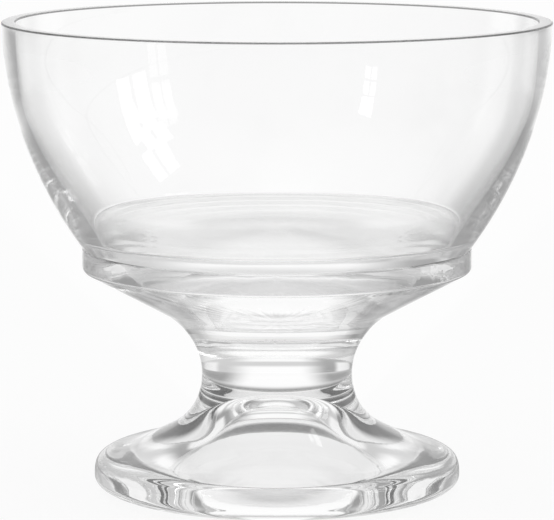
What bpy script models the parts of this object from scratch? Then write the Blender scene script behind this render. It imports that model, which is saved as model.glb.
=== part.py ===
"""Dessert glass: a clear glass bowl bonded to a turned glass pedestal with a hollow foot.

Metres, +Z up. The origin is the centre of the ring that the glass stands on.
"""

import math

import bmesh
import bpy
from mathutils import Vector

# Bowl
RIM_RADIUS = 0.0550
BOWL_HEIGHT = 0.0454
RIM_ROUNDING = 0.0006
FLOOR_THICKNESS = 0.0030
FLOOR_ROUNDING = 0.0015
# The outside leaves the rim almost upright and reaches the base at a slope
RIM_LEAN = math.radians(1.3)
BASE_SLOPE = math.radians(53.8)
RIM_REACH = 0.0182
BASE_REACH = 0.0142
# The wall is thinnest part of the way down and thickens again towards the base
RIM_WALL = 0.00285
THINNEST_WALL = 0.0020
BASE_WALL = 0.0030
THINNEST_SHARE = 0.4

# Joint between the bowl and the pedestal
JOINT_RADIUS = 0.03926
FILM_THICKNESS = 0.0002
FILM_INSET = 0.0006
FILM_GAP = 0.0001

# Pedestal, from the collar down
COLLAR_HEIGHT = 0.0041
COLLAR_ROUNDING = 0.0008
CONE_SLOPE = math.radians(28.7)
NECK_SPREAD = 0.00805
NECK_RISE = 0.01307
NECK_CONE_REACH = 0.0038
NECK_WAIST_REACH = 0.0065
WAIST_RADIUS = 0.01525
FLARE_SPREAD = 0.00805
FLARE_RISE = 0.01188
FLARE_WAIST_REACH = 0.0081
FLARE_SHOULDER_REACH = 0.0016

# Foot
SHOULDER_SLOPE = math.radians(27.4)
SHOULDER_REACH = 0.0130
FOOT_RISE = 0.00856
FOOT_RADIUS = 0.0371
FOOT_BROW_REACH = 0.0060
EDGE_RISE = 0.00287
EDGE_UNDERCUT = 0.0076
EDGE_SIDE_REACH = 0.0020
EDGE_REST_REACH = 0.0045
REST_WIDTH = 0.0022
HOLLOW_DEPTH = 0.0190
HOLLOW_EDGE_SLOPE = math.radians(10.5)
HOLLOW_EDGE_REACH = 0.0196
HOLLOW_CROWN_REACH = 0.0115

# How finely round forms are divided
TURN_STEPS = 64
WALL_PIECES = 10
CURVE_PIECES = 7
ROUNDING_PIECES = 3
SHARP_ANGLE = math.radians(32.0)
MERGE_DISTANCE = 0.00001
HALVINGS = 40
WALL_STEP = 0.01

# Looks
BOWL_COLOUR = (0.97, 0.97, 0.97)
PEDESTAL_COLOUR = (0.96, 0.96, 0.96)
FILM_COLOUR = (0.95, 0.95, 0.94)
GLASS_ROUGHNESS = 0.02
FILM_ROUGHNESS = 0.08

# Radii and heights above the table that follow from the sizes above
KNEE_RADIUS = WAIST_RADIUS + NECK_SPREAD
SHOULDER_RADIUS = WAIST_RADIUS + FLARE_SPREAD
REST_OUTER_RADIUS = FOOT_RADIUS - EDGE_UNDERCUT
REST_INNER_RADIUS = REST_OUTER_RADIUS - REST_WIDTH
EDGE_Z = EDGE_RISE
SHOULDER_Z = EDGE_Z + FOOT_RISE
WAIST_Z = SHOULDER_Z + FLARE_RISE
KNEE_Z = WAIST_Z + NECK_RISE
COLLAR_BOTTOM_Z = KNEE_Z + (JOINT_RADIUS - KNEE_RADIUS) * math.tan(CONE_SLOPE)
COLLAR_TOP_Z = COLLAR_BOTTOM_Z + COLLAR_HEIGHT
FILM_BOTTOM_Z = COLLAR_TOP_Z + FILM_GAP
FILM_TOP_Z = FILM_BOTTOM_Z + FILM_THICKNESS
BOWL_BASE_Z = FILM_TOP_Z + FILM_GAP
RIM_Z = BOWL_BASE_Z + BOWL_HEIGHT
FLOOR_Z = BOWL_BASE_Z + FLOOR_THICKNESS


def point(radius, height):
    """A profile point at a radius from the axis and a height above the table."""
    return Vector((radius, height))


def heading(angle):
    """A unit step in the profile plane, at an angle up from straight outwards."""
    return Vector((math.cos(angle), math.sin(angle)))


UP = heading(math.pi / 2)
OUT = heading(0.0)


def along(start, start_handle, end_handle, end, share, derivative=False):
    """A point on a cubic curve, or the curve's derivative there, at a share of the way along it."""
    rest = 1.0 - share
    if derivative:
        return (
            (start_handle - start) * (3.0 * rest * rest)
            + (end_handle - start_handle) * (6.0 * rest * share)
            + (end - end_handle) * (3.0 * share * share)
        )
    return (
        start * rest ** 3
        + start_handle * (3.0 * rest * rest * share)
        + end_handle * (3.0 * rest * share * share)
        + end * share ** 3
    )


def curve(start, start_handle, end_handle, end, pieces):
    """Points along a cubic curve, without its start, so that stretches can be chained."""
    return [along(start, start_handle, end_handle, end, index / pieces) for index in range(1, pieces + 1)]


def rounded(corner, arriving, leaving, radius):
    """Points of an arc that rounds a corner between an arriving and a leaving direction."""
    turn = arriving.angle(leaving)
    setback = radius * math.tan(turn / 2)
    start = corner - arriving * setback
    end = corner + leaving * setback
    bulge = radius * (4.0 / 3.0) * math.tan(turn / 4)
    return [start] + curve(start, start + arriving * bulge, end - leaving * bulge, end, ROUNDING_PIECES)


def outer_wall():
    """Control points of the bowl's outside, from the rim down to the base."""
    rim = point(RIM_RADIUS, RIM_Z)
    base = point(JOINT_RADIUS, BOWL_BASE_Z)
    rim_handle = rim - heading(math.pi / 2 - RIM_LEAN) * RIM_REACH
    base_handle = base + heading(BASE_SLOPE) * BASE_REACH
    return rim, rim_handle, base_handle, base


def eased(start, end, share):
    """A value that eases from start to end as share goes from 0 to 1."""
    return start + (end - start) * (1.0 - math.cos(math.pi * share)) / 2.0


def wall_thickness(share):
    """The bowl wall's thickness at a share of the way from the rim to the base."""
    if share < THINNEST_SHARE:
        return eased(RIM_WALL, THINNEST_WALL, share / THINNEST_SHARE)
    return eased(THINNEST_WALL, BASE_WALL, (share - THINNEST_SHARE) / (1.0 - THINNEST_SHARE))


def inner_point(share):
    """The inside of the wall, square across it from the outside at the same share of the way down."""
    handles = outer_wall()
    down = along(*handles, share, derivative=True).normalized()
    inwards = point(down.y, -down.x)
    return along(*handles, share) + inwards * wall_thickness(share)


def inner_share(height):
    """How far down the wall its inside lies at a given height."""
    high = 0.0
    low = 1.0
    for _ in range(HALVINGS):
        middle = (high + low) / 2.0
        if inner_point(middle).y > height:
            high = middle
        else:
            low = middle
    return high


def bowl_profile():
    """The bowl's half section: out along the floor, up the inside, over the rim, down the outside, in."""
    corner_share = inner_share(FLOOR_Z)
    corner = inner_point(corner_share)
    up_wall = (inner_point(corner_share - WALL_STEP) - corner).normalized()
    floor_edge = rounded(corner, OUT, up_wall, FLOOR_ROUNDING)
    start = inner_share(floor_edge[-1].y)

    profile = [point(0.0, FLOOR_Z)] + floor_edge
    for index in range(1, WALL_PIECES):
        profile.append(inner_point(start * (1.0 - index / WALL_PIECES)))
    profile += rounded(point(RIM_RADIUS - RIM_WALL, RIM_Z), UP, OUT, RIM_ROUNDING)
    profile += rounded(point(RIM_RADIUS, RIM_Z), OUT, -UP, RIM_ROUNDING)
    profile += curve(*outer_wall(), WALL_PIECES)
    profile.append(point(0.0, BOWL_BASE_Z))
    return profile


def film_profile():
    """The bonding film's half section: a thin disc a little smaller than the two faces it joins."""
    radius = JOINT_RADIUS - FILM_INSET
    return [
        point(0.0, FILM_TOP_Z),
        point(radius, FILM_TOP_Z),
        point(radius, FILM_BOTTOM_Z),
        point(0.0, FILM_BOTTOM_Z),
    ]


def foot_edge():
    """The foot's rounded edge, from its widest point down to the outside of the ring it stands on."""
    widest = point(FOOT_RADIUS, EDGE_Z)
    rest = point(REST_OUTER_RADIUS, 0.0)
    return curve(widest, widest - UP * EDGE_SIDE_REACH, rest + OUT * EDGE_REST_REACH, rest, CURVE_PIECES)


def hollow():
    """The bell-shaped hollow under the foot, from the standing ring up to its crown on the axis."""
    mouth = point(REST_INNER_RADIUS, 0.0)
    crown = point(0.0, HOLLOW_DEPTH)
    mouth_handle = mouth + heading(math.pi - HOLLOW_EDGE_SLOPE) * HOLLOW_EDGE_REACH
    return [mouth] + curve(mouth, mouth_handle, crown + OUT * HOLLOW_CROWN_REACH, crown, WALL_PIECES)


def pedestal_profile():
    """The pedestal's half section: over the joint face, down the outside, then up into the hollow."""
    corner = point(JOINT_RADIUS, COLLAR_BOTTOM_Z)
    knee = point(KNEE_RADIUS, KNEE_Z)
    waist = point(WAIST_RADIUS, WAIST_Z)
    shoulder = point(SHOULDER_RADIUS, SHOULDER_Z)
    widest = point(FOOT_RADIUS, EDGE_Z)
    down_cone = -heading(CONE_SLOPE)
    down_foot = heading(-SHOULDER_SLOPE)

    profile = [point(0.0, COLLAR_TOP_Z), point(JOINT_RADIUS, COLLAR_TOP_Z)]
    profile += rounded(corner, -UP, down_cone, COLLAR_ROUNDING)
    profile.append(knee)
    profile += curve(
        knee,
        knee + down_cone * NECK_CONE_REACH,
        waist + UP * NECK_WAIST_REACH,
        waist,
        CURVE_PIECES,
    )
    profile += curve(
        waist,
        waist - UP * FLARE_WAIST_REACH,
        shoulder - down_foot * FLARE_SHOULDER_REACH,
        shoulder,
        CURVE_PIECES,
    )
    profile += curve(
        shoulder,
        shoulder + down_foot * SHOULDER_REACH,
        widest + UP * FOOT_BROW_REACH,
        widest,
        CURVE_PIECES,
    )
    profile += foot_edge()
    profile += hollow()
    return profile


def clear_scene():
    """Remove every object, so that the model starts from nothing."""
    for old in list(bpy.data.objects):
        bpy.data.objects.remove(old, do_unlink=True)


def clear_material(name, colour, roughness):
    """A clear, non-metallic material.

    Glass and cured resin both let light through; the colour is their faint tint.
    """
    material = bpy.data.materials.new(name)
    material.use_nodes = True
    shader = material.node_tree.nodes["Principled BSDF"]
    shader.inputs["Base Color"].default_value = (*colour, 1.0)
    shader.inputs["Roughness"].default_value = roughness
    shader.inputs["Metallic"].default_value = 0.0
    shader.inputs["Transmission Weight"].default_value = 1.0
    return material


def turned(name, profile, material, collection):
    """A piece turned about the axis from its half section."""
    mesh = bpy.data.meshes.new(name)
    section = bmesh.new()
    corners = [section.verts.new((corner.x, 0.0, corner.y)) for corner in profile]
    for upper, lower in zip(corners, corners[1:]):
        section.edges.new((upper, lower))
    section.to_mesh(mesh)
    section.free()

    piece = bpy.data.objects.new(name, mesh)
    collection.objects.link(piece)
    screw = piece.modifiers.new("Turn", "SCREW")
    screw.axis = "Z"
    screw.angle = 2.0 * math.pi
    screw.steps = TURN_STEPS
    screw.render_steps = TURN_STEPS
    screw.use_merge_vertices = True
    screw.merge_threshold = MERGE_DISTANCE
    screw.use_smooth_shade = True

    bpy.context.view_layer.update()
    evaluated = piece.evaluated_get(bpy.context.evaluated_depsgraph_get())
    solid = bpy.data.meshes.new_from_object(evaluated)
    solid.name = name
    piece.modifiers.clear()
    piece.data = solid
    bpy.data.meshes.remove(mesh)
    solid.shade_smooth()
    solid.set_sharp_from_angle(angle=SHARP_ANGLE)
    solid.materials.append(material)
    return piece


def build():
    """Model the dessert glass."""
    clear_scene()
    glass = bpy.data.collections.new("Dessert glass")
    bpy.context.scene.collection.children.link(glass)
    bowl_glass = clear_material("Bowl glass", BOWL_COLOUR, GLASS_ROUGHNESS)
    clear_bond = clear_material("Clear bond", FILM_COLOUR, FILM_ROUGHNESS)
    pedestal_glass = clear_material("Pedestal glass", PEDESTAL_COLOUR, GLASS_ROUGHNESS)
    turned("bowl", bowl_profile(), bowl_glass, glass)
    turned("bond_film", film_profile(), clear_bond, glass)
    turned("pedestal", pedestal_profile(), pedestal_glass, glass)


build()
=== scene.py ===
"""Looks of the dessert glass: its clear bowl, bond film and turned pedestal, in a pale studio."""

import logging
import math
from dataclasses import dataclass
from enum import Enum
from typing import Any, Optional, Union

import bmesh
import bpy
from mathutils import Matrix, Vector


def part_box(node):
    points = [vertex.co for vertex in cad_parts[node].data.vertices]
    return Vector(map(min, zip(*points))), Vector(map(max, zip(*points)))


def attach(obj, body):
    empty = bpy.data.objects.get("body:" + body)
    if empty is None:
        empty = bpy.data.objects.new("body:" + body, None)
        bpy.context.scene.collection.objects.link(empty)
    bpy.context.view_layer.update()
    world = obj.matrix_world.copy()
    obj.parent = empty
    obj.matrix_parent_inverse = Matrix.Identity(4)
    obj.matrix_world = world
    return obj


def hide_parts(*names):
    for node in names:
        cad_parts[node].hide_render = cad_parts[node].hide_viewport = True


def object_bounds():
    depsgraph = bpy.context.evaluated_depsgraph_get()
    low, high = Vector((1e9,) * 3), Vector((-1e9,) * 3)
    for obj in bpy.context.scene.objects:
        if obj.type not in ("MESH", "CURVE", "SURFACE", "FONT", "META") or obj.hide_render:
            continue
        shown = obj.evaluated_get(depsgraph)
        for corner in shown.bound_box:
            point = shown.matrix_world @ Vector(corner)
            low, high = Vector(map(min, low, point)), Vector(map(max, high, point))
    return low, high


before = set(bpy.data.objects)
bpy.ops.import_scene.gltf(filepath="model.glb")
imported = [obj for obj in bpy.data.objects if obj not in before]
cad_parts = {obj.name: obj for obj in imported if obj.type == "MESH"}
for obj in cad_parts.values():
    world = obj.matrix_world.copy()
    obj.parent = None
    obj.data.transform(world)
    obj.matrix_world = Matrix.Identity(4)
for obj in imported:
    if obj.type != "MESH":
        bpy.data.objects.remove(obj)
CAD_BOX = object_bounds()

log = logging.getLogger("dessert_glass")

BODY = "root"
UP = Vector((0.0, 1.0))
OUT = Vector((1.0, 0.0))

# Places of a Mix node's colour sockets
MIX_SHARE = 0
MIX_FIRST = 6
MIX_SECOND = 7
MIX_RESULT = 2

Span = tuple[float, float]
Colour = tuple[float, float, float, float]


def grey(level: float) -> Colour:
    """A plain grey, from 0 for black to 1 for white."""
    return level, level, level, 1.0


class Piece(Enum):
    """The pieces of the glass, by their node in the frame."""

    BOWL = "bowl"
    FILM = "bond_film"
    PEDESTAL = "pedestal"


class Slot(Enum):
    """The record's material slots."""

    BOWL = "bowl_glass"
    FILM = "clear_bond"
    PEDESTAL = "pedestal_glass"


class Signal:
    """A number that a shader works out, so that shader maths reads as an expression."""

    def __init__(self, graph: "Graph", socket: bpy.types.NodeSocket) -> None:
        """Wrap a node's output socket."""
        self.graph = graph
        self.socket = socket

    def _math(self, operation: str, first: "Number", second: "Number" = 0.0) -> "Signal":
        """Add a Math node.

        Args:
            operation: the Math node's operation.
            first: its first value.
            second: its second value, where it has one.

        Returns:
            The node's result.
        """
        node = self.graph.add("ShaderNodeMath", {"operation": operation}, {0: first, 1: second})
        return Signal(self.graph, node.outputs[0])

    def __add__(self, other: "Number") -> "Signal":
        """This value plus another."""
        return self._math("ADD", self, other)

    def __radd__(self, other: "Number") -> "Signal":
        """Another value plus this one."""
        return self._math("ADD", other, self)

    def __sub__(self, other: "Number") -> "Signal":
        """This value less another."""
        return self._math("SUBTRACT", self, other)

    def __rsub__(self, other: "Number") -> "Signal":
        """Another value less this one."""
        return self._math("SUBTRACT", other, self)

    def __mul__(self, other: "Number") -> "Signal":
        """This value times another."""
        return self._math("MULTIPLY", self, other)

    def __rmul__(self, other: "Number") -> "Signal":
        """Another value times this one."""
        return self._math("MULTIPLY", other, self)

    def __neg__(self) -> "Signal":
        """This value with its sign turned."""
        return self * -1.0

    def __abs__(self) -> "Signal":
        """This value without its sign."""
        return self._math("ABSOLUTE", self)

    def most(self, other: "Number") -> "Signal":
        """The larger of this value and another."""
        return self._math("MAXIMUM", self, other)

    def angle_from(self, other: "Number") -> "Signal":
        """The angle whose sine and cosine are in proportion to this value and another."""
        return self._math("ARCTAN2", self, other)

    def towards(self, target: "Number", share: "Signal") -> "Signal":
        """This value, taken a share of the way to another."""
        return self + share * (target - self)

    def step(self, span: Span) -> "Signal":
        """A smooth step.

        Args:
            span: where the step is still 0, and where it has reached 1.

        Returns:
            The step's height at this value.
        """
        low, high = span
        node = self.graph.add(
            "ShaderNodeMapRange",
            {"interpolation_type": "SMOOTHSTEP"},
            {"Value": self, "From Min": low, "From Max": high},
        )
        return Signal(self.graph, node.outputs["Result"])

    def turn_step(self, span: Span) -> "Signal":
        """A smooth step over an angle, whose span is in degrees."""
        return self.step((math.radians(span[0]), math.radians(span[1])))


Number = Union[Signal, float]


class Graph:
    """A material's or the world's node tree, filled through one method."""

    def __init__(self, tree: bpy.types.NodeTree) -> None:
        """Take over a node tree and empty it."""
        self.tree = tree
        tree.nodes.clear()

    def add(self, kind: str, settings: dict[str, Any], sockets: dict[Union[str, int], Any]) -> bpy.types.Node:
        """Add a node.

        Args:
            kind: the node's type.
            settings: its own settings, which are set first.
            sockets: values or links for its inputs, by name or by place.

        Returns:
            The new node.
        """
        node = self.tree.nodes.new(kind)
        for name, value in settings.items():
            setattr(node, name, value)
        for key, value in sockets.items():
            target = node.inputs[key]
            if isinstance(value, Signal):
                self.tree.links.new(value.socket, target)
            elif isinstance(value, bpy.types.NodeSocket):
                self.tree.links.new(value, target)
            else:
                target.default_value = value
        return node

    def signal(self, node: bpy.types.Node, output: Union[str, int] = 0) -> Signal:
        """One of a node's outputs, ready for maths."""
        return Signal(self, node.outputs[output])

    def coordinates(self, kind: str) -> bpy.types.NodeSocket:
        """Where a point is, in one of Texture Coordinate's systems."""
        return self.add("ShaderNodeTexCoord", {}, {}).outputs[kind]

    def axes(self, vector: bpy.types.NodeSocket) -> tuple[Signal, Signal, Signal]:
        """A vector's three parts."""
        node = self.add("ShaderNodeSeparateXYZ", {}, {0: vector})
        return self.signal(node, 0), self.signal(node, 1), self.signal(node, 2)

    def blend(self, share: Signal, first: Any, second: Any) -> bpy.types.NodeSocket:
        """Mix two colours.

        Args:
            share: how much of the second colour shows.
            first: the first colour, or a socket that gives it.
            second: the second colour.

        Returns:
            The mixed colour.
        """
        sockets = {MIX_SHARE: share, MIX_FIRST: first, MIX_SECOND: second}
        return self.add("ShaderNodeMix", {"data_type": "RGBA"}, sockets).outputs[MIX_RESULT]

    def noise(self, vector: bpy.types.NodeSocket, scale: float, detail: float) -> Signal:
        """Soft noise.

        Args:
            vector: where the noise is read.
            scale: cycles to a unit of the vector.
            detail: how many finer layers it has.

        Returns:
            Values from 0 to 1.
        """
        node = self.add("ShaderNodeTexNoise", {}, {"Vector": vector, "Scale": scale, "Detail": detail})
        return self.signal(node, 0)


@dataclass(frozen=True)
class GrindingAndPaintedShade:
    """A cut rim's edges, finely roughened by the grinder and given a dark painted shade; a lighter painted
    shade on the rim's flat face; and a base finely roughened by the grinder. Spans are heights in metres.
    """

    edge: Span
    face: Span
    base: Span
    painted_edge_shade: float
    painted_face_shade: float
    edge_roughness: float
    base_roughness: float

    def shares(self, high: Signal) -> tuple[Signal, Signal, Signal]:
        """How far a height is on the rim's edges, on its face and on the base.

        Args:
            high: the height.

        Returns:
            Three shares, from 0 to 1.
        """
        face = high.step(self.face)
        edge = high.step(self.edge) * (1.0 - face)
        base = 1.0 - high.step(self.base)
        return edge, face, base


@dataclass(frozen=True)
class PressLines:
    """The faint lines that run up a pressed piece, deeper on its collar. Depths are in metres."""

    depth: float
    count: float
    rise: float
    detail: float
    collar: Span
    collar_depth: float

    def relief(self, graph: Graph, place: bpy.types.NodeSocket) -> Signal:
        """The lines' relief.

        Args:
            graph: the material's nodes.
            place: the coordinates that the lines follow.

        Returns:
            A height.
        """
        across, deep, high = graph.axes(place)
        turn = across.angle_from(-deep) * self.count
        along = graph.add("ShaderNodeCombineXYZ", {}, {"X": turn, "Y": high * self.rise})
        depth = high.step(self.collar) * self.collar_depth + self.depth
        return graph.noise(along.outputs[0], 1.0, self.detail) * depth


@dataclass(frozen=True)
class ClearFinish:
    """A clear finish: polished glass or cured resin, with faint handling marks and ripples."""

    name: str
    tint: Colour
    ior: float
    smudge: float
    smudge_scale: float
    ripple: float
    ripple_scale: float
    smudge_detail: float = 3.0
    smudge_edge: Span = (0.52, 0.72)
    ripple_detail: float = 1.0
    # Fine roughness from the grinder on a rim and base, with painted shade on the rim.
    grinding_and_painted_shade: Optional[GrindingAndPaintedShade] = None
    lines: Optional[PressLines] = None

    def material(self) -> bpy.types.Material:
        """Make the finish.

        Returns:
            A material whose colour, roughness and relief vary over the piece.
        """
        made = bpy.data.materials.new(self.name)
        made.use_nodes = True
        graph = Graph(made.node_tree)
        place = graph.coordinates("Object")
        marks = graph.noise(place, self.smudge_scale, self.smudge_detail).step(self.smudge_edge)
        colour = graph.blend(marks, grey(1.0), self.tint)
        roughness = marks * self.smudge
        if self.grinding_and_painted_shade:
            grinding_and_shade = self.grinding_and_painted_shade
            edge, face, base = grinding_and_shade.shares(graph.axes(place)[2])
            # Painted shade on the rim: a dark tint on its edges and a lighter one on its flat face, for how
            # the cut rim refracts.
            colour = graph.blend(edge, colour, grey(grinding_and_shade.painted_edge_shade))
            colour = graph.blend(face, colour, grey(grinding_and_shade.painted_face_shade))
            roughness = roughness + edge * grinding_and_shade.edge_roughness + base * grinding_and_shade.base_roughness
        shader = graph.add(
            "ShaderNodeBsdfPrincipled",
            {},
            {
                "Base Color": colour,
                "Roughness": roughness,
                "Normal": self.relief(graph, place),
                "Transmission Weight": 1.0,
                "IOR": self.ior,
            },
        )
        graph.add("ShaderNodeOutputMaterial", {}, {"Surface": shader.outputs[0]})
        return made

    def relief(self, graph: Graph, place: bpy.types.NodeSocket) -> bpy.types.NodeSocket:
        """The finish's ripples, with a pressed piece's lines.

        Args:
            graph: the material's nodes.
            place: the coordinates that the ripples follow.

        Returns:
            A normal.
        """
        height = graph.noise(place, self.ripple_scale, self.ripple_detail) * self.ripple
        if self.lines:
            height = height + self.lines.relief(graph, place)
        bump = graph.add("ShaderNodeBump", {}, {"Height": height, "Distance": 1.0, "Strength": 1.0})
        return bump.outputs[0]


class Outline:
    """A turned piece's half section, drawn as lines, curves and rounded corners."""

    def __init__(self, radius: float, height: float) -> None:
        """Start at a radius from the axis and a height above the table."""
        self.points = [Vector((radius, height))]

    def line(self, end: Vector) -> "Outline":
        """Draw a straight line to a point."""
        self.points.append(end)
        return self

    def curve(self, leave: Vector, arrive: Vector, end: Vector, pieces: int) -> "Outline":
        """Draw a cubic curve.

        Args:
            leave: its handle at the start, from there.
            arrive: its handle at the end, from there.
            end: where it ends.
            pieces: how many straight pieces it has.

        Returns:
            This outline.
        """
        start = self.points[-1]
        first = start + leave
        second = end + arrive
        for index in range(1, pieces + 1):
            share = index / pieces
            rest = 1.0 - share
            self.points.append(
                start * rest ** 3
                + first * (3.0 * rest * rest * share)
                + second * (3.0 * rest * share * share)
                + end * share ** 3
            )
        return self

    def corner(self, at: Vector, arriving: Vector, leaving: Vector, radius: float, pieces: int) -> "Outline":
        """Draw a line to a corner and round it.

        Args:
            at: the sharp corner.
            arriving: the direction of travel before it.
            leaving: the direction of travel after it.
            radius: the rounding's radius.
            pieces: how many straight pieces the rounding has.

        Returns:
            This outline.
        """
        turn = arriving.angle(leaving)
        setback = radius * math.tan(turn / 2.0)
        bulge = radius * (4.0 / 3.0) * math.tan(turn / 4.0)
        self.line(at - arriving * setback)
        return self.curve(arriving * bulge, leaving * -bulge, at + leaving * setback, pieces)


def heading(degrees: float) -> Vector:
    """A unit step in the half section, at an angle up from straight outwards."""
    return Vector((math.cos(math.radians(degrees)), math.sin(math.radians(degrees))))


@dataclass
class Turned:
    """A piece turned about the upright axis."""

    steps: int = 256
    sharp_degrees: float = 32.0
    merge: float = 0.000001

    def turn(self, piece: Piece, slot: Slot, outline: Outline, finish: ClearFinish) -> bpy.types.Object:
        """Turn a half section into a solid, dress it and set it on the frame.

        Args:
            piece: the node that the solid stands for.
            slot: the record's slot for its finish; not used.
            outline: its half section, from the axis round to the axis.
            finish: its finish.

        Returns:
            The new object.
        """
        solid = bmesh.new()
        corners = [solid.verts.new((point.x, 0.0, point.y)) for point in outline.points]
        edges = [solid.edges.new(pair) for pair in zip(corners, corners[1:])]
        bmesh.ops.spin(
            solid,
            geom=corners + edges,
            cent=(0.0, 0.0, 0.0),
            axis=(0.0, 0.0, 1.0),
            angle=2.0 * math.pi,
            steps=self.steps,
            use_merge=True,
        )
        bmesh.ops.remove_doubles(solid, verts=solid.verts, dist=self.merge)
        bmesh.ops.recalc_face_normals(solid, faces=solid.faces)
        mesh = bpy.data.meshes.new(piece.value + "_turned")
        solid.to_mesh(mesh)
        solid.free()
        mesh.shade_smooth()
        mesh.set_sharp_from_angle(angle=math.radians(self.sharp_degrees))
        mesh.materials.append(finish.material())
        made = bpy.data.objects.new(mesh.name, mesh)
        bpy.context.scene.collection.objects.link(made)
        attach(made, BODY)
        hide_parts(piece.value)
        log.info("%s: %d faces", made.name, len(mesh.polygons))
        return made


@dataclass
class Bowl(Turned):
    """The clear bowl, with its cut rim, easing wall and flat floor. Sizes are in metres."""

    rim_rounding: float = 0.0004
    floor_thickness: float = 0.0030
    floor_rounding: float = 0.0015
    rim_lean: float = 1.3
    base_slope: float = 53.8
    rim_reach: float = 0.0182
    base_reach: float = 0.0142
    rim_wall: float = 0.00285
    thinnest_wall: float = 0.0020
    base_wall: float = 0.0030
    thinnest_share: float = 0.4
    wall_pieces: int = 64
    rounding_pieces: int = 6
    finish: ClearFinish = ClearFinish(
        name="bowl_glass",
        tint=grey(0.985),
        ior=1.52,
        smudge=0.012,
        smudge_scale=60.0,
        ripple=0.000030,
        ripple_scale=60.0,
        grinding_and_painted_shade=GrindingAndPaintedShade(
            edge=(0.0946, 0.0947),
            face=(0.09495, 0.0950),
            base=(0.04963, 0.04973),
            # Painted shade: dark on the rim's edges, lighter on its flat face.
            painted_edge_shade=0.10,
            painted_face_shade=0.75,
            edge_roughness=0.22,
            base_roughness=0.05,
        ),
    )

    def __post_init__(self) -> None:
        """Take the bowl's place from the frame."""
        low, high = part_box(Piece.BOWL.value)
        self.rim = Vector((high.x, high.z))
        self.base = Vector((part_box(Piece.PEDESTAL.value)[1].x, low.z))
        self.floor = low.z + self.floor_thickness

    def wall(self) -> list[Vector]:
        """The outside of the wall.

        Returns:
            Points from the rim down to the base.
        """
        outside = Outline(self.rim.x, self.rim.y)
        outside.curve(
            heading(90.0 - self.rim_lean) * -self.rim_reach,
            heading(self.base_slope) * self.base_reach,
            self.base,
            self.wall_pieces,
        )
        return outside.points

    def thickness(self, share: float) -> float:
        """The wall's thickness, which eases to its thinnest and then grows towards the base.

        Args:
            share: how far down the wall, from 0 at the rim to 1 at the base.

        Returns:
            The thickness there.
        """
        if share < self.thinnest_share:
            start, end, along = self.rim_wall, self.thinnest_wall, share / self.thinnest_share
        else:
            start, end = self.thinnest_wall, self.base_wall
            along = (share - self.thinnest_share) / (1.0 - self.thinnest_share)
        return start + (end - start) * (1.0 - math.cos(math.pi * along)) / 2.0

    def inside(self) -> list[Vector]:
        """The inside of the wall.

        Returns:
            Points from the floor up to just under the rim.
        """
        wall = self.wall()
        found = []
        for index in range(1, len(wall) - 1):
            down = (wall[index + 1] - wall[index - 1]).normalized()
            inwards = Vector((down.y, -down.x))
            at = wall[index] + inwards * self.thickness(index / self.wall_pieces)
            if at.y > self.floor:
                found.append(at)
        return found[::-1]

    def outline(self) -> Outline:
        """The bowl's half section.

        Returns:
            An outline along the floor, up the inside, over the rim, down the outside and in again.
        """
        inside = self.inside()
        up_wall = (inside[1] - inside[0]).normalized()
        corner = inside[0] - up_wall * ((inside[0].y - self.floor) / up_wall.y)
        turning = Outline(0.0, self.floor)
        turning.corner(corner, OUT, up_wall, self.floor_rounding, self.rounding_pieces)
        reached = turning.points[-1].y
        turning.points += [point for point in inside if point.y > reached]
        rim_inside = self.rim - OUT * self.rim_wall
        turning.corner(rim_inside, UP, OUT, self.rim_rounding, self.rounding_pieces)
        turning.corner(self.rim, OUT, -UP, self.rim_rounding, self.rounding_pieces)
        turning.points += self.wall()[1:]
        return turning.line(Vector((0.0, self.base.y)))

    def build(self) -> bpy.types.Object:
        """Model the bowl and dress it."""
        return self.turn(Piece.BOWL, Slot.BOWL, self.outline(), self.finish)


@dataclass
class BondFilm(Turned):
    """The thin clear film that holds the bowl on the pedestal. Sizes are in metres."""

    edge_rounding: float = 0.00008
    edge_pieces: int = 4
    finish: ClearFinish = ClearFinish(
        name="clear_bond",
        tint=(0.985, 0.985, 0.98, 1.0),
        ior=1.48,
        smudge=0.02,
        smudge_scale=90.0,
        ripple=0.000001,
        ripple_scale=300.0,
    )

    def outline(self) -> Outline:
        """The film's half section.

        Returns:
            A disc's outline, with a rounded edge.
        """
        low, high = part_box(Piece.FILM.value)
        turning = Outline(0.0, high.z)
        turning.corner(Vector((high.x, high.z)), OUT, -UP, self.edge_rounding, self.edge_pieces)
        turning.corner(Vector((high.x, low.z)), -UP, -OUT, self.edge_rounding, self.edge_pieces)
        return turning.line(Vector((0.0, low.z)))

    def build(self) -> bpy.types.Object:
        """Model the film and dress it."""
        return self.turn(Piece.FILM, Slot.FILM, self.outline(), self.finish)


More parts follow.
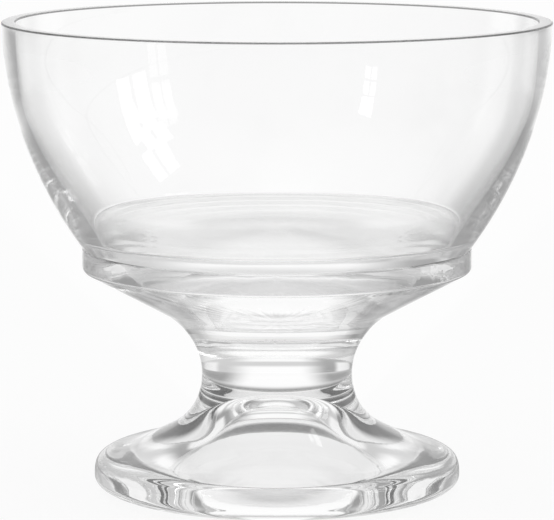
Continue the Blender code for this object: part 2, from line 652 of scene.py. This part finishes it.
@dataclass
class Pedestal(Turned):
    """The turned pedestal: collar, cone, waist and hollow foot. Sizes are in metres."""

    collar_height: float = 0.0041
    collar_rounding: float = 0.0008
    cone_slope: float = 28.7
    neck_spread: float = 0.00805
    neck_rise: float = 0.01307
    neck_cone_reach: float = 0.0038
    neck_waist_reach: float = 0.0065
    waist_radius: float = 0.01525
    flare_spread: float = 0.00805
    flare_rise: float = 0.01188
    flare_waist_reach: float = 0.0081
    flare_shoulder_reach: float = 0.0016
    shoulder_slope: float = 27.4
    shoulder_reach: float = 0.0130
    foot_rise: float = 0.00856
    foot_radius: float = 0.0371
    foot_brow_reach: float = 0.0060
    edge_rise: float = 0.00287
    edge_undercut: float = 0.0076
    edge_side_reach: float = 0.0020
    edge_rest_reach: float = 0.0045
    rest_width: float = 0.0022
    hollow_depth: float = 0.0190
    hollow_edge_slope: float = 10.5
    hollow_edge_reach: float = 0.0196
    hollow_crown_reach: float = 0.0115
    curve_pieces: int = 40
    rounding_pieces: int = 6
    finish: ClearFinish = ClearFinish(
        name="pedestal_glass",
        tint=grey(0.985),
        ior=1.52,
        smudge=0.012,
        smudge_scale=70.0,
        ripple=0.000016,
        ripple_scale=70.0,
        lines=PressLines(
            depth=0.000010,
            count=8.0,
            rise=40.0,
            detail=2.0,
            collar=(0.0440, 0.0450),
            collar_depth=0.000110,
        ),
    )

    def outline(self) -> Outline:
        """The pedestal's half section.

        Returns:
            An outline over the joint face, down the outside, along the rest and up into the hollow.
        """
        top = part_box(Piece.PEDESTAL.value)[1]
        widest = Vector((self.foot_radius, self.edge_rise))
        shoulder = Vector((self.waist_radius + self.flare_spread, widest.y + self.foot_rise))
        waist = Vector((self.waist_radius, shoulder.y + self.flare_rise))
        knee = Vector((self.waist_radius + self.neck_spread, waist.y + self.neck_rise))
        rest = Vector((self.foot_radius - self.edge_undercut, 0.0))
        mouth = rest - OUT * self.rest_width
        crown = Vector((0.0, self.hollow_depth))
        down_cone = -heading(self.cone_slope)
        down_foot = heading(-self.shoulder_slope)

        turning = Outline(0.0, top.z)
        turning.line(Vector((top.x, top.z)))
        collar = Vector((top.x, top.z - self.collar_height))
        turning.corner(collar, -UP, down_cone, self.collar_rounding, self.rounding_pieces)
        turning.line(knee)
        turning.curve(down_cone * self.neck_cone_reach, UP * self.neck_waist_reach, waist, self.curve_pieces)
        turning.curve(
            UP * -self.flare_waist_reach, down_foot * -self.flare_shoulder_reach, shoulder, self.curve_pieces
        )
        turning.curve(down_foot * self.shoulder_reach, UP * self.foot_brow_reach, widest, self.curve_pieces)
        turning.curve(UP * -self.edge_side_reach, OUT * self.edge_rest_reach, rest, self.curve_pieces)
        turning.line(mouth)
        turning.curve(
            heading(180.0 - self.hollow_edge_slope) * self.hollow_edge_reach,
            OUT * self.hollow_crown_reach,
            crown,
            self.curve_pieces,
        )
        return turning

    def build(self) -> bpy.types.Object:
        """Model the pedestal and dress it."""
        return self.turn(Piece.PEDESTAL, Slot.PEDESTAL, self.outline(), self.finish)


@dataclass(frozen=True)
class Softbox:
    """A soft lamp of several panes with bars between them, aimed at the glass. Angles are in degrees."""

    name: str
    azimuth: float
    elevation: float
    distance: float
    width: float
    height: float
    columns: int
    rows: int
    bar: float
    radiance: float

    def place(self, aim: Vector) -> list[bpy.types.Object]:
        """Hang the panes.

        Args:
            aim: the point that the softbox faces.

        Returns:
            The lamps, one to a pane.
        """
        turn = math.radians(self.azimuth)
        lift = math.radians(self.elevation)
        level = math.cos(lift)
        towards = Vector((math.sin(turn) * level, -math.cos(turn) * level, math.sin(lift)))
        right = Vector((math.cos(turn), math.sin(turn), 0.0))
        up = right.cross(-towards)
        pane_width = (self.width - self.bar * (self.columns - 1)) / self.columns
        pane_height = (self.height - self.bar * (self.rows - 1)) / self.rows
        lamps = []
        for column in range(self.columns):
            for row in range(self.rows):
                lamp = bpy.data.lights.new(f"{self.name}_{column}_{row}", "AREA")
                lamp.shape = "RECTANGLE"
                lamp.size = pane_width
                lamp.size_y = pane_height
                lamp.energy = self.radiance * math.pi * pane_width * pane_height
                hung = bpy.data.objects.new(lamp.name, lamp)
                sideways = (column - (self.columns - 1) / 2.0) * (pane_width + self.bar)
                upwards = (row - (self.rows - 1) / 2.0) * (pane_height + self.bar)
                hung.location = aim + towards * self.distance + right * sideways + up * upwards
                hung.rotation_euler = towards.to_track_quat("Z", "Y").to_euler()
                bpy.context.scene.collection.objects.link(hung)
                lamps.append(hung)
        return lamps


WINDOW_HIGH = Softbox(
    name="window_high",
    azimuth=74.0,
    elevation=30.0,
    distance=1.6,
    width=0.46,
    height=0.56,
    columns=2,
    rows=2,
    bar=0.06,
    radiance=2.6,
)
WINDOW_RIGHT = Softbox(
    name="window_right",
    azimuth=58.0,
    elevation=22.0,
    distance=1.8,
    width=0.30,
    height=0.50,
    columns=2,
    rows=2,
    bar=0.03,
    radiance=1.0,
)
WINDOW_LEFT = Softbox(
    name="window_left",
    azimuth=-46.0,
    elevation=25.0,
    distance=1.8,
    width=0.18,
    height=0.28,
    columns=2,
    rows=3,
    bar=0.02,
    radiance=3.0,
)


@dataclass(frozen=True)
class PaintedFloorLevels:
    """Painted light and shade in the floor's glow as the glass sees it, where 1 is white. Turns are in
    degrees, reaches in metres.
    """

    side: float = 0.30
    left: float = 0.60
    right: float = 0.42
    front: float = 0.84
    near: float = 0.87
    # Depth of the painted shadow ring round the foot.
    painted_contact_shadow: float = 0.85
    front_turn: Span = (45.0, 100.0)
    right_turn: Span = (-17.19, 17.19)
    near_reach: Span = (0.03, 0.09)
    middle_reach: Span = (0.15, 0.55)
    far_reach: Span = (0.5, 1.6)
    painted_shadow_start: Span = (0.027, 0.032)
    painted_shadow_end: Span = (0.042, 0.07)


@dataclass(frozen=True)
class RoomLevels:
    """How bright the room round the glass is, where 1 is white. Turns are in degrees from straight behind."""

    left: float = 0.34
    right: float = 0.60
    front: float = 0.43
    high: float = 0.63
    top: float = 1.06
    back: float = 1.01
    back_fade: float = 0.36
    panel: float = 0.92
    right_part: Span = (-0.3, 0.3)
    back_turn: Span = (11.0, 32.0)
    panel_start: Span = (36.0, 44.0)
    panel_end: Span = (60.0, 72.0)
    front_turn: Span = (110.0, 150.0)
    fade_start: Span = (0.13, 0.23)
    fade_end: Span = (0.30, 0.40)
    panel_top: Span = (0.25, 0.40)
    high_part: Span = (0.45, 0.70)
    top_part: Span = (0.75, 0.92)

    def behind(self, turned: Signal) -> Signal:
        """1 straight behind the glass, easing to 0 towards the sides."""
        return 1.0 - turned.turn_step(self.back_turn)

    def panels(self, turned: Signal) -> Signal:
        """1 at the pale panels that stand to the left and right behind the glass, and 0 elsewhere."""
        return turned.turn_step(self.panel_start) * (1.0 - turned.turn_step(self.panel_end))


@dataclass
class Studio:
    """The pale floor, the soft surroundings, the softboxes and the camera."""

    floor_radius: float = 4.0
    floor_segments: int = 96
    floor_drop: float = 0.0003
    floor_colour: Colour = grey(0.9)
    floor_glow: float = 0.98
    floor_white: float = 0.92
    floor: PaintedFloorLevels = PaintedFloorLevels()
    room: RoomLevels = RoomLevels()
    softboxes: tuple[Softbox, ...] = (WINDOW_HIGH, WINDOW_RIGHT, WINDOW_LEFT)
    camera_distance: float = 0.6597
    camera_height: float = 0.14497
    camera_pitch: float = 8.49
    camera_lens: float = 214.54
    light_bounces: int = 128

    def painted_floor_level(self, graph: Graph) -> Signal:
        """The floor's painted glow as the glass sees it: painted shade at the sides and a painted shadow ring
        round where the foot rests.

        Args:
            graph: the floor's nodes.

        Returns:
            The level at each point.
        """
        floor, room = self.floor, self.room
        place = graph.coordinates("Object")
        across, deep, _ = graph.axes(place)
        far = graph.signal(graph.add("ShaderNodeVectorMath", {"operation": "LENGTH"}, {0: place}), "Value")
        turn = across.angle_from(deep)
        turned = abs(turn)
        ahead = turned.turn_step(floor.front_turn)
        right = turn.turn_step(floor.right_turn)
        level = ahead * (floor.front - floor.side) + floor.side
        middle = right * (floor.right - floor.left) + floor.left
        level = level.towards(middle, far.step(floor.middle_reach) * (1.0 - ahead))
        sides = right * (room.right - room.left) + room.left
        sides = sides.towards(room.panel, room.panels(turned))
        level = level.towards(sides, far.step(floor.far_reach))
        level = level.towards(room.back, room.behind(turned))
        # Painted light under the foot: an even glow there.
        level = level.towards(floor.near, 1.0 - far.step(floor.near_reach))
        # Painted shadow: a dark ring round the foot, behind it and at its sides.
        painted_shadow = far.step(floor.painted_shadow_start) * (1.0 - far.step(floor.painted_shadow_end)) * (1.0 - ahead)
        return level * (1.0 - painted_shadow * floor.painted_contact_shadow)

    def floor_finish(self) -> bpy.types.Material:
        """The pale floor's finish: a glow that the camera sees near white and the glass sees with painted
        light and shade, over a matt part that keeps the glass's real shadow.

        Returns:
            The material.
        """
        pale = bpy.data.materials.new("pale_floor")
        pale.use_nodes = True
        graph = Graph(pale.node_tree)
        level = self.painted_floor_level(graph)
        path = graph.add("ShaderNodeLightPath", {}, {})
        camera = graph.signal(path, "Is Camera Ray")
        glass = graph.signal(path, "Is Glossy Ray").most(graph.signal(path, "Is Transmission Ray"))
        matt = graph.add("ShaderNodeBsdfDiffuse", {}, {"Color": self.floor_colour})
        # Glossy and transmission rays see the glow at the painted levels; camera rays see it white.
        glow = graph.add("ShaderNodeEmission", {}, {"Color": camera.most(level), "Strength": 1.0})
        share = (camera * self.floor_white).most(glass * self.floor_glow)
        mixed = graph.add("ShaderNodeMixShader", {}, {0: share, 1: matt.outputs[0], 2: glow.outputs[0]})
        graph.add("ShaderNodeOutputMaterial", {}, {"Surface": mixed.outputs[0]})
        return pale

    def lay_floor(self) -> None:
        """Lay the floor, a round disc just under the foot."""
        disc = bmesh.new()
        bmesh.ops.create_circle(disc, cap_ends=True, radius=self.floor_radius, segments=self.floor_segments)
        bmesh.ops.translate(disc, verts=disc.verts, vec=(0.0, 0.0, -self.floor_drop))
        mesh = bpy.data.meshes.new("floor")
        disc.to_mesh(mesh)
        disc.free()
        mesh.materials.append(self.floor_finish())
        floor = bpy.data.objects.new("floor", mesh)
        bpy.context.scene.collection.objects.link(floor)

    def surround(self) -> None:
        """Set the soft surroundings: white behind the glass, greyer at the sides and in front, pale above."""
        room = self.room
        world = bpy.data.worlds.new("studio")
        world.use_nodes = True
        bpy.context.scene.world = world
        graph = Graph(world.node_tree)
        across, deep, high = graph.axes(graph.coordinates("Generated"))
        turned = abs(across.angle_from(deep))
        level = across.step(room.right_part) * (room.right - room.left) + room.left
        level = level.towards(room.panel, room.panels(turned) * (1.0 - high.step(room.panel_top)))
        backdrop = room.back - (high.step(room.fade_start) - high.step(room.fade_end)) * room.back_fade
        level = level.towards(backdrop, room.behind(turned))
        level = level.towards(room.front, turned.turn_step(room.front_turn))
        level = level.towards(room.high, high.step(room.high_part))
        level = level.towards(room.top, high.step(room.top_part))
        camera = graph.signal(graph.add("ShaderNodeLightPath", {}, {}), "Is Camera Ray")
        level = level.towards(1.0, camera)
        glow = graph.add("ShaderNodeBackground", {}, {"Color": level, "Strength": 1.0})
        graph.add("ShaderNodeOutputWorld", {}, {"Surface": glow.outputs[0]})

    def hang_lamps(self) -> None:
        """Hang the softboxes round the middle of the glass."""
        low, high = CAD_BOX
        for softbox in self.softboxes:
            lamps = softbox.place((low + high) / 2.0)
            log.info("%s: %d panes", softbox.name, len(lamps))

    def stand_camera(self) -> None:
        """Stand the camera at the photograph's angle."""
        lens = bpy.data.cameras.new("camera")
        lens.lens = self.camera_lens
        camera = bpy.data.objects.new("camera", lens)
        camera.location = (0.0, -self.camera_distance, self.camera_height)
        camera.rotation_euler = (math.radians(90.0 - self.camera_pitch), 0.0, 0.0)
        bpy.context.scene.collection.objects.link(camera)
        bpy.context.scene.camera = camera

    def follow_light(self) -> None:
        """Follow each light path far enough to get out of thick clear glass again."""
        paths = bpy.context.scene.cycles
        paths.max_bounces = self.light_bounces
        paths.transmission_bounces = self.light_bounces
        paths.glossy_bounces = self.light_bounces

    def build(self) -> None:
        """Set up the studio."""
        bpy.context.scene.view_settings.view_transform = "Standard"
        self.follow_light()
        self.lay_floor()
        self.surround()
        self.hang_lamps()
        self.stand_camera()


def main() -> None:
    """Build the glass piece by piece, then the studio round it."""
    logging.basicConfig(level=logging.INFO)
    Bowl().build()
    BondFilm().build()
    Pedestal().build()
    Studio().build()


if __name__ == "__main__":
    main()
